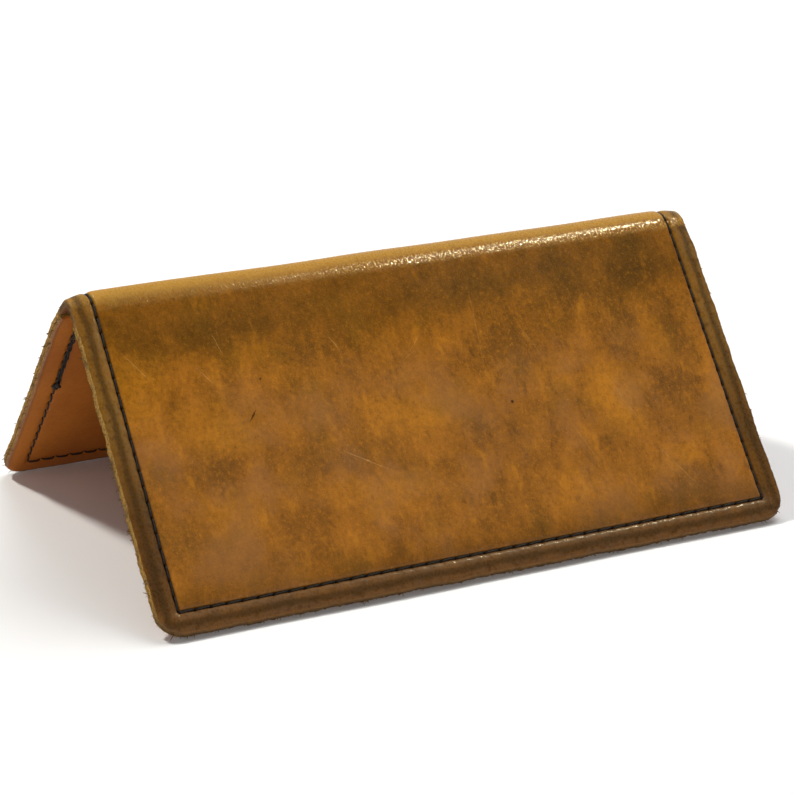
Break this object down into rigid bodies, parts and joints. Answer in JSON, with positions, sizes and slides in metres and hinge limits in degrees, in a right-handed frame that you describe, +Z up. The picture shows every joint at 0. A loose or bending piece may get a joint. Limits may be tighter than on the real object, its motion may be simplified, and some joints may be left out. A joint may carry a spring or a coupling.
{
  "type": "checkbook cover",
  "caption": "Folding leather checkbook cover with a rounded spine, an inner pocket on each panel and a thread seam round the edge, standing as a tent.",
  "frame": {"origin": "on the floor plane, below the middle of the fold", "axes": "+X along the fold, +Y toward the rear panel, +Z up"},
  "size_m": [0.171, 0.1178, 0.0673],
  "materials": {
    "outer_leather": "semi-gloss hand-dyed, mottled",
    "pocket_leather": "smooth satin",
    "thread": "waxed"
  },
  "bodies": {
    "rear": {"rear_cover": "outer_leather", "rear_pocket": "pocket_leather", "rear_thread": "thread", "overlap_stitches": "thread", "thread_knot": "thread"},
    "fold": {"spine": "outer_leather", "spine_thread_left": "thread", "spine_thread_right": "thread"},
    "front": {"front_cover": "outer_leather", "front_pocket": "pocket_leather", "front_thread": "thread"}
  },
  "joints": [
    {"name": "rear_fold_line", "type": "hinge", "parent": "rear", "child": "fold", "pos_m": [0, 0.00436, 0.06382], "axis": [-1, 0, 0], "range_deg": [-40.75, 49.25]},
    {"name": "front_fold_line", "type": "hinge", "parent": "fold", "child": "front", "pos_m": [0, -0.00436, 0.06382], "axis": [-1, 0, 0], "range_deg": [-40.75, 49.25]}
  ],
  "couplings": [
    {"joint": "rear_fold_line", "follows": "front_fold_line", "ratio": 1}
  ]
}
